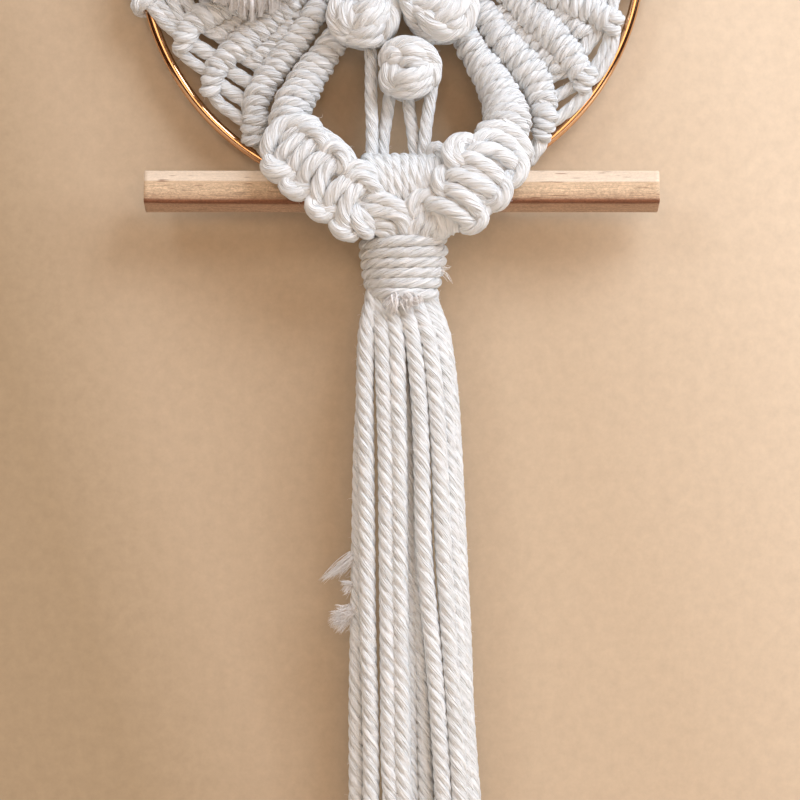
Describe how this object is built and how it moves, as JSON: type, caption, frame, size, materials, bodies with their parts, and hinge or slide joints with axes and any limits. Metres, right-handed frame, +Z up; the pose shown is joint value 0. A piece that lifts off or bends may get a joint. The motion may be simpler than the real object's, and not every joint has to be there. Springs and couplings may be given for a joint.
{
  "type": "macrame wall hanging with metal ring and wooden bar",
  "caption": "Knotted cotton wall hanging: a fan-shaped macrame panel in a metal ring, tied across a square wooden bar, with a long cord tassel.",
  "frame": {"origin": "middle of the underside of the metal ring's top, where a nail or hook holds it", "axes": "+Z up, -Y out of the wall towards the viewer, +X to the viewer's right along the wooden bar"},
  "size_m": [0.1584, 0.0305, 0.3682],
  "materials": {
    "cotton_cord": "twisted three-ply cotton cord, natural white, matt",
    "brushed_cotton": "cotton cord combed out to loose fibre",
    "gold_plate": "polished gold-coloured plate on steel wire",
    "pine": "planed pine, unvarnished, fine cross scratches"
  },
  "bodies": {
    "root": {"metal_ring": "gold_plate", "wooden_bar": "pine", "knotted_panel": "cotton_cord", "tassel": "cotton_cord", "left_fringe": "brushed_cotton", "right_fringe": "brushed_cotton"}
  },
  "joints": []
}
